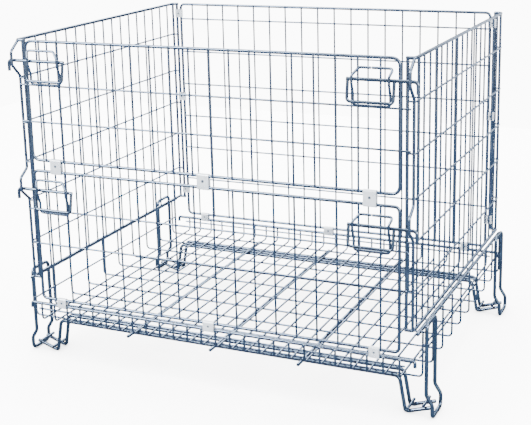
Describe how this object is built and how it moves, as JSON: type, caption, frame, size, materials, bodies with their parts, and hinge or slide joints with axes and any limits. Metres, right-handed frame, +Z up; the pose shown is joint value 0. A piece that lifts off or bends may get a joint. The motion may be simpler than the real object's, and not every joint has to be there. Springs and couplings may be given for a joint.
{
  "type": "wire mesh container",
  "caption": "Open-topped wire mesh storage container with rod feet, fold-down front gate, drop-handle latches and folding side panels, zinc plated.",
  "frame": {"origin": "on the ground under the middle of the outline", "axes": "+X along the long front, from left to right as seen from the front; -Y towards the front with the gate; +Z up"},
  "size_m": [1.0746, 0.809, 0.8162],
  "materials": {
    "wire_zinc": "bright zinc plate on drawn wire, light brushed sheen",
    "rod_zinc": "bright zinc plate on drawn rod, light brushed sheen",
    "strip_zinc": "bright zinc plate on rolled strip"
  },
  "bodies": {
    "base": {"base_floor_mesh": "wire_zinc", "base_front_upstand": "wire_zinc", "base_back_upstand": "wire_zinc", "base_left_upstand": "wire_zinc", "base_right_upstand": "wire_zinc", "floor_bar_left": "rod_zinc", "floor_bar_middle": "rod_zinc", "floor_bar_right": "rod_zinc", "back_panel": "wire_zinc", "back_base_clip_left": "strip_zinc", "back_base_clip_middle": "strip_zinc", "back_base_clip_right": "strip_zinc", "front_outer_skid_rod": "rod_zinc", "front_inner_skid_rod": "rod_zinc", "front_left_foot_hoop": "rod_zinc", "front_left_inner_tie": "rod_zinc", "front_left_outer_tie": "rod_zinc", "front_right_foot_hoop": "rod_zinc", "front_right_inner_tie": "rod_zinc", "front_right_outer_tie": "rod_zinc", "back_outer_skid_rod": "rod_zinc", "back_inner_skid_rod": "rod_zinc", "back_left_foot_hoop": "rod_zinc", "back_left_inner_tie": "rod_zinc", "back_left_outer_tie": "rod_zinc", "back_right_foot_hoop": "rod_zinc", "back_right_inner_tie": "rod_zinc", "back_right_outer_tie": "rod_zinc"},
    "left_side": {"left_side_panel": "wire_zinc", "corner_clip_left_top": "strip_zinc", "corner_clip_left_middle": "strip_zinc", "corner_clip_left_bottom": "strip_zinc"},
    "right_side": {"right_side_panel": "wire_zinc", "corner_clip_right_top": "strip_zinc", "corner_clip_right_middle": "strip_zinc", "corner_clip_right_bottom": "strip_zinc"},
    "lower_front": {"lower_front_panel": "wire_zinc", "latch_bracket_lower_left": "wire_zinc", "latch_bracket_lower_right": "wire_zinc", "front_base_clip_left": "strip_zinc", "front_base_clip_middle": "strip_zinc", "front_base_clip_right": "strip_zinc"},
    "gate_hinges": {"gate_clip_left": "strip_zinc", "gate_clip_middle": "strip_zinc", "gate_clip_right": "strip_zinc"},
    "gate": {"gate_panel": "wire_zinc", "latch_bracket_upper_left": "wire_zinc", "latch_bracket_upper_right": "wire_zinc"},
    "upper_left_latch": {"latch_bolt_upper_left": "rod_zinc"},
    "upper_right_latch": {"latch_bolt_upper_right": "rod_zinc"},
    "lower_left_latch": {"latch_bolt_lower_left": "rod_zinc"},
    "lower_right_latch": {"latch_bolt_lower_right": "rod_zinc"}
  },
  "joints": [
    {"name": "left_side_fold", "type": "hinge", "parent": "base", "child": "left_side", "pos_m": [-0.466, 0.3953, 0.5], "axis": [0, 0, 1], "range_deg": [0, 90]},
    {"name": "right_side_fold", "type": "hinge", "parent": "base", "child": "right_side", "pos_m": [0.466, 0.3953, 0.5], "axis": [0, 0, -1], "range_deg": [0, 82]},
    {"name": "lower_front_fold", "type": "hinge", "parent": "base", "child": "lower_front", "pos_m": [0, -0.3807, 0.147], "axis": [1, 0, 0], "range_deg": [0, 95]},
    {"name": "gate_hinge_lower", "type": "hinge", "parent": "lower_front", "child": "gate_hinges", "pos_m": [0, -0.3807, 0.4935], "axis": [1, 0, 0], "range_deg": [0, 90]},
    {"name": "gate_hinge_upper", "type": "hinge", "parent": "gate_hinges", "child": "gate", "pos_m": [0, -0.3807, 0.521], "axis": [1, 0, 0], "range_deg": [0, 90]},
    {"name": "upper_left_latch_turn", "type": "hinge", "parent": "gate", "child": "upper_left_latch", "pos_m": [-0.417, -0.3923, 0.766], "axis": [-1, 0, 0], "range_deg": [0, 100]},
    {"name": "upper_right_latch_turn", "type": "hinge", "parent": "gate", "child": "upper_right_latch", "pos_m": [0.417, -0.3923, 0.766], "axis": [-1, 0, 0], "range_deg": [0, 100]},
    {"name": "lower_left_latch_turn", "type": "hinge", "parent": "lower_front", "child": "lower_left_latch", "pos_m": [-0.417, -0.3923, 0.448], "axis": [-1, 0, 0], "range_deg": [0, 100]},
    {"name": "lower_right_latch_turn", "type": "hinge", "parent": "lower_front", "child": "lower_right_latch", "pos_m": [0.417, -0.3923, 0.448], "axis": [-1, 0, 0], "range_deg": [0, 100]}
  ]
}
